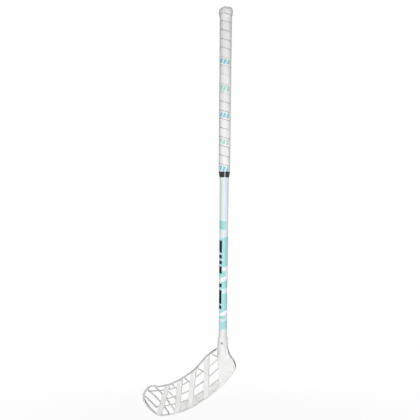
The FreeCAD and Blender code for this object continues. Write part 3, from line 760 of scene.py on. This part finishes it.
def soften_copy(node: str, name: str, skin_mm: float, rounds: int, kept_share: float) -> bpy.types.Object:
    """Copies a CAD node, joins its facets and rounds its edges as a mould does.

    Args:
        node: The CAD node.
        name: The new piece's name.
        skin_mm: Size of the new skin's facets.
        rounds: How often the skin is smoothed.
        kept_share: Share of the facets that is kept.

    Returns:
        The rounded piece.
    """
    piece = bpy.data.objects.new(name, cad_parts[node].data.copy())
    bpy.context.collection.objects.link(piece)
    make_active(piece)
    bpy.ops.mesh.customdata_custom_splitnormals_clear()
    bpy.ops.object.mode_set(mode="EDIT")
    bpy.ops.mesh.select_all(action="SELECT")
    bpy.ops.mesh.remove_doubles(threshold=MERGE_MM * MM)
    bpy.ops.object.mode_set(mode="OBJECT")
    for kind, settings in (
        ("REMESH", {"mode": "VOXEL", "voxel_size": skin_mm * MM}),
        ("SMOOTH", {"factor": SMOOTHING_SHARE, "iterations": rounds}),
        ("DECIMATE", {"ratio": kept_share}),
    ):
        bpy.ops.object.modifier_add(type=kind)
        step = piece.modifiers[-1]
        for key, value in settings.items():
            setattr(step, key, value)
        bpy.ops.object.modifier_apply(modifier=step.name)
    bpy.ops.object.shade_smooth()
    return piece


def hand_over(piece: bpy.types.Object, node: str, material: bpy.types.Material) -> None:
    """Dresses a new piece and puts it in a CAD node's place.

    Args:
        piece: The new piece.
        node: The CAD node that it stands for.
        material: Its finish.
    """
    dress(piece, material)
    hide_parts(node)
    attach(piece, "root")
    LOG.info("%s: %d faces", piece.name, len(piece.data.polygons))


def dress_node(name: str, material: bpy.types.Material) -> None:
    """Gives a CAD node its material and says so in the log."""
    dress(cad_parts[name], material)
    LOG.info("%s: %s", name, material.name)


@dataclass
class Grip:
    """The upper end: butt cap, wound tape on its liner, and the split collar. Sizes in mm."""

    # The strip: its ends, its winding, and its section, which is drawn away from the axis and then fitted.
    top: float = TAPE_TOP_MM
    foot: float = -205.9
    pitch: float = 22.3
    seam_level: float = 168.4
    thickness: float = 1.9
    crown: float = 0.3
    shoulder: float = 1.1
    shoulder_steps: int = 3
    slit: float = 0.25
    section_radius: float = 100.0
    face_share: float = 0.9
    face_cuts: int = 7
    turns: int = 21
    steps: int = 72
    crease_degrees: float = 50.0
    # A hand's uneven winding: its size, and the speed and start of its two waves in radians.
    uneven: float = 0.6
    waves: tuple[tuple[float, float], ...] = ((0.9, 0.6), (2.3, 2.0))
    pull: float = 3.0
    pull_levels: tuple[float, float] = (166.0, 178.0)
    # What the tape lies on, as levels and radii: the tube with its liner, and the cap's skirt.
    tube_tip: tuple[float, float] = (-654.4, 10.3)
    tube_butt: tuple[float, float] = (189.0, 12.5)
    liner_gap: float = 0.6
    skirt_low: tuple[float, float] = (177.5, 13.0)
    skirt_high: tuple[float, float] = (189.0, 15.1)
    # The cap's head: its levels and radius, how far its rim sinks, and how far its left side is pressed.
    head: tuple[float, float] = (189.0, 206.0)
    head_radius: float = 17.5
    dome: float = 3.0
    dome_power: int = 4
    press: float = 2.2
    press_across: tuple[float, float] = (-3.0, -15.0)
    cap_skin: float = 0.7
    cap_rounds: int = 5
    cap_kept_share: float = 0.5
    # Thermoplastic rubber, moulded: matt and pale, a little greyer in its clouds.
    cap: MouldedPlastic = MouldedPlastic(
        "moulded_thermoplastic_rubber_cap", Mottle("#F2F2F1", "#F9F9F8", 25.0), 0.6, 1.5, 0.12)
    # Adhesive film, calendered: a dull cream edge under the tape.
    liner: MouldedPlastic = MouldedPlastic("calendered_adhesive_film", Mottle("#C4BEAC", "#D4CFBF"), 0.5)
    # Black rubber, moulded: deep grey under soft light, never quite black.
    collar: MouldedPlastic = MouldedPlastic(
        "moulded_black_rubber", Mottle("#252628", "#2D2E30", 10.0), 0.55, 1.5, 0.3)
    tape: WoundPolyurethane = WoundPolyurethane()

    def seat(self, level: float) -> float:
        """Works out the radius of what the tape lies on.

        Args:
            level: Height along the shaft.

        Returns:
            The radius.
        """
        liner = cone_radius(level, self.tube_tip, self.tube_butt) + self.liner_gap
        if level <= self.skirt_low[0]:
            return liner
        return max(liner, cone_radius(level, self.skirt_low, self.skirt_high))

    def draw_section(self) -> bpy.types.Object:
        """Draws the strip's section beside the axis, with rounded shoulders and a crowned face.

        Returns:
            The section as a ring of edges.
        """
        width = self.pitch - self.slit
        # The strip starts at angle 0, all of it above the trim, its edges in line with the front's seams.
        middle = self.seam_level + self.pitch * (360 + FRONT_DEGREES) / 360 + self.pitch * 3 / 2
        centre = (self.section_radius + self.thickness / 2) * MM
        face = (self.section_radius + self.thickness * self.face_share) * MM
        deselect_all()
        bpy.ops.mesh.primitive_plane_add(size=1, rotation=(math.pi / 2, 0, 0))
        piece = bpy.context.object
        bpy.ops.object.transform_apply(location=False, rotation=True, scale=False)
        bpy.ops.object.mode_set(mode="EDIT")
        bpy.ops.transform.resize(value=(self.thickness * MM, 1, width * MM))
        bpy.ops.transform.translate(value=(centre, 0, middle * MM))
        shape = bmesh.from_edit_mesh(piece.data)
        for vert in shape.verts:
            vert.select = vert.co.x > centre
        shape.select_flush(True)
        bmesh.update_edit_mesh(piece.data)
        bpy.ops.mesh.bevel(offset=self.shoulder * MM, offset_type="OFFSET", segments=self.shoulder_steps,
                           affect="VERTICES")
        bpy.ops.mesh.select_all(action="DESELECT")
        shape = bmesh.from_edit_mesh(piece.data)
        bpy.ops.mesh.select_mode(type="EDGE")
        for edge in shape.edges:
            long = edge.calc_length() > width * MM / 2
            edge.select_set(long and all(vert.co.x > face for vert in edge.verts))
        bmesh.update_edit_mesh(piece.data)
        bpy.ops.mesh.subdivide(number_cuts=self.face_cuts)
        shape = bmesh.from_edit_mesh(piece.data)
        for vert in shape.verts:
            if vert.co.x > face:
                share = (vert.co.z / MM - middle) / (width / 2)
                vert.co.x += self.crown * MM * (1 - share * share)
        bmesh.update_edit_mesh(piece.data)
        bpy.ops.mesh.select_all(action="SELECT")
        bpy.ops.mesh.delete(type="ONLY_FACE")
        bpy.ops.object.mode_set(mode="OBJECT")
        return piece

    def fit_strip(self, piece: bpy.types.Object) -> None:
        """Numbers the strip's points and lays them on their seat, as unevenly as a hand does.

        Args:
            piece: The wound strip, still at the section's radius.
        """
        strip = piece.data.attributes.new(STRIP, "FLOAT_VECTOR", "POINT")
        for vert in piece.data.vertices:
            x, y, z = vert.co
            radius = math.hypot(x, y)
            share = (math.degrees(math.atan2(y, x)) - FRONT_DEGREES) / 360
            share -= round(share)
            wave = (z / MM - self.seam_level) / self.pitch
            turn = wave + share
            strip.data[vert.index].vector = (turn - math.floor(turn), math.floor(turn), 0)
            # The turns lie closer in some places than in others.
            z += self.uneven * MM * sum(math.sin(wave * speed + start) for speed, start in self.waves)
            # The first turn is pulled down where it starts on the cap's skirt.
            z -= self.pull * MM * ease(way_share(z / MM, *self.pull_levels))
            fitted = (radius / MM - self.section_radius + self.seat(min(z / MM, self.top))) * MM
            vert.co = (x / radius * fitted, y / radius * fitted, z)

    def wind_tape(self) -> bpy.types.Object:
        """Winds the strip down the grip, fits it to its seat and trims it at both ends.

        Returns:
            The wound tape.
        """
        piece = self.draw_section()
        piece.name = "wound_tape"
        bpy.ops.object.modifier_add(type="SCREW")
        winding = piece.modifiers[-1]
        winding.axis = "Z"
        winding.angle = 2 * math.pi
        winding.screw_offset = -self.pitch * MM
        winding.iterations = self.turns
        winding.steps = self.steps
        winding.render_steps = self.steps
        bpy.ops.object.modifier_apply(modifier=winding.name)
        self.fit_strip(piece)
        bpy.ops.object.mode_set(mode="EDIT")
        for level, above in ((self.top, True), (self.foot, False)):
            bpy.ops.mesh.select_all(action="SELECT")
            bpy.ops.mesh.bisect(plane_co=(0, 0, level * MM), plane_no=(0, 0, 1), use_fill=True,
                                clear_outer=above, clear_inner=not above)
        bpy.ops.mesh.select_all(action="SELECT")
        bpy.ops.mesh.remove_doubles(threshold=MERGE_MM * MM)
        bpy.ops.mesh.normals_make_consistent(inside=False)
        bpy.ops.object.mode_set(mode="OBJECT")
        bpy.ops.object.shade_smooth_by_angle(angle=math.radians(self.crease_degrees))
        return piece

    def round_cap(self) -> bpy.types.Object:
        """Copies the cap, rounds its head and presses its left side a little flatter.

        Returns:
            The rounded cap.
        """
        piece = soften_copy("butt_cap", "rounded_cap", self.cap_skin, self.cap_rounds, self.cap_kept_share)
        right = math.radians(FRONT_DEGREES + 90)
        for vert in piece.data.vertices:
            x, y, z = vert.co / MM
            lift = way_share(z, *self.head)
            side = way_share(x * math.cos(right) + y * math.sin(right), *self.press_across)
            sag = self.dome * (math.hypot(x, y) / self.head_radius) ** self.dome_power
            vert.co.z -= (sag + self.press * ease(side)) * lift * MM
        return piece

    def build(self) -> None:
        """Makes the tape and the cap and dresses the grip's pieces."""
        hand_over(self.wind_tape(), "grip_tape", self.tape.make())
        hand_over(self.round_cap(), "butt_cap", self.cap.make())
        dress_node("grip_liner", self.liner.make())
        dress_node("grip_collar", self.collar.make())


@dataclass
class Shaft:
    """The tapered tube with its print, and the plug in its lower end."""

    film: LacqueredPrint = LacqueredPrint()
    # Polyamide, moulded: a dull dark grey plug.
    plug: MouldedPlastic = MouldedPlastic("moulded_polyamide_plug", Mottle("#2E2E30", "#38383A"), 0.5)

    def build(self) -> None:
        """Dresses the tube and the plug."""
        dress_node("shaft_tube", self.film.make())
        dress_node("tip_plug", self.plug.make())


@dataclass
class Blade:
    """The moulded blade and its screws. Sizes in mm."""

    skin_step: float = 0.65
    smooth_rounds: int = 7
    kept_share: float = 0.5
    heel_across: tuple[float, float] = (22.0, 35.0)
    heel_level: float = -685.5
    heel_reach: float = 8.0
    heel_round: float = 1.9
    plastic: MouldedPolyethylene = MouldedPolyethylene()
    steel: ZincPlatedSteel = ZincPlatedSteel()

    def round_heel(self, piece: bpy.types.Object) -> None:
        """Draws in the heel's corner, so that it runs round.

        Args:
            piece: The blade.
        """
        for vert in piece.data.vertices:
            outward = way_share(vert.co.x / MM, *self.heel_across)
            near = math.exp(-((vert.co.z / MM - self.heel_level) / self.heel_reach) ** 2)
            vert.co.x -= self.heel_round * MM * outward * near

    def build(self) -> None:
        """Makes the blade and dresses it with its screws."""
        piece = soften_copy("blade", "lattice_blade", self.skin_step, self.smooth_rounds, self.kept_share)
        self.round_heel(piece)
        hand_over(piece, "blade", self.plastic.make())
        dress_node("blade_screws", self.steel.make())


@dataclass(frozen=True)
class Lamp:
    """A soft square lamp: how far before the stick and to its right it hangs, and its level, in metres."""

    name: str
    before: float
    right: float
    level: float
    width: float
    watts: float


@dataclass
class Studio:
    """White room with five soft lamps, before, behind, beside and above the stick. Sizes in metres."""

    eye: tuple[float, float, float] = (0.5895, -2.9417, -0.3020)
    target: tuple[float, float, float] = (-0.0342, -0.0072, -0.3020)
    lens_mm: float = 102.86
    sensor_mm: float = 36.0
    roll_degrees: float = 0.565
    floor_gap: float = 0.00054
    floor_width: float = 16.0
    paper: MattPaper = MattPaper()
    room_light: float = 0.07
    lamps: tuple[Lamp, ...] = (
        Lamp("front_softbox", 1.45, 0.0, -0.38, 0.8, 16.3),
        Lamp("back_softbox", -1.6, 0.0, -0.45, 0.8, 17.0),
        Lamp("side_fill", 0.5, 1.5, -0.72, 0.6, 1.4),
        Lamp("left_fill", 0.5, -1.3, -0.76, 0.6, 0.7),
        # A hair off the axis, so that the way down has a side.
        Lamp("top_softbox", 0.00978, -0.00208, 2.2, 1.2, 12.0),
    )

    def place_camera(self) -> None:
        """Puts the camera at the height of the shaft's middle, a little to the stick's right."""
        data = bpy.data.cameras.new("camera")
        data.lens = self.lens_mm
        data.sensor_width = self.sensor_mm
        camera = bpy.data.objects.new("camera", data)
        bpy.context.collection.objects.link(camera)
        look = Vector(self.target) - Vector(self.eye)
        roll = Matrix.Rotation(math.radians(self.roll_degrees), 4, "Z").to_quaternion()
        camera.rotation_euler = (look.to_track_quat("-Z", "Y") @ roll).to_euler()
        camera.location = self.eye
        bpy.context.scene.camera = camera

    def hang_lamp(self, lamp: Lamp) -> None:
        """Hangs a lamp that faces the shaft's axis at its own level, or the origin where it hangs higher.

        Args:
            lamp: The lamp.
        """
        away = Vector((self.eye[0] - self.target[0], self.eye[1] - self.target[1], 0)).normalized()
        across = Vector((-away.y, away.x, 0))
        place = away * lamp.before + across * lamp.right + Vector((0, 0, lamp.level))
        data = bpy.data.lights.new(lamp.name, "AREA")
        data.energy = lamp.watts
        data.size = lamp.width
        piece = bpy.data.objects.new(lamp.name, data)
        piece.location = place
        faced = Vector((0, 0, min(lamp.level, 0.0)))
        piece.rotation_euler = (faced - place).to_track_quat("-Z", "Y").to_euler()
        piece.visible_camera = False
        bpy.context.collection.objects.link(piece)

    def lay_floor(self) -> None:
        """Lays the pale floor, which looks white and keeps a faint shadow."""
        level = CAD_BOX[0][2] - self.floor_gap
        deselect_all()
        bpy.ops.mesh.primitive_plane_add(size=self.floor_width, location=(0, 0, level))
        floor = bpy.context.object
        floor.name = "studio_floor"
        dress(floor, self.paper.make())

    def fill_room(self) -> None:
        """Makes the room white to look at and dim as a light, so that round pieces darken at their sides."""
        world = bpy.data.worlds.new("studio_room")
        tree = empty_tree(world)
        level = add_node(tree, "MapRange", {0: seen_directly(tree), 3: self.room_light, 4: 1.0})
        glow = add_node(tree, "Background", {"Color": WHITE, "Strength": level.outputs[0]})
        add_node(tree, "OutputWorld", {"Surface": glow.outputs[0]})
        bpy.context.scene.world = world

    def build(self) -> None:
        """Sets up camera, lamps, floor and room."""
        self.place_camera()
        for lamp in self.lamps:
            self.hang_lamp(lamp)
        self.lay_floor()
        self.fill_room()
        bpy.context.scene.view_settings.view_transform = "Standard"
        LOG.info("studio: camera, %d lamps, floor and room", len(self.lamps))


def main() -> None:
    """Builds the stick's assemblies in order."""
    logging.basicConfig(level=logging.INFO, format="%(name)s: %(message)s")
    for assembly in (Studio(), Shaft(), Grip(), Blade()):
        assembly.build()


if __name__ == "__main__":
    main()
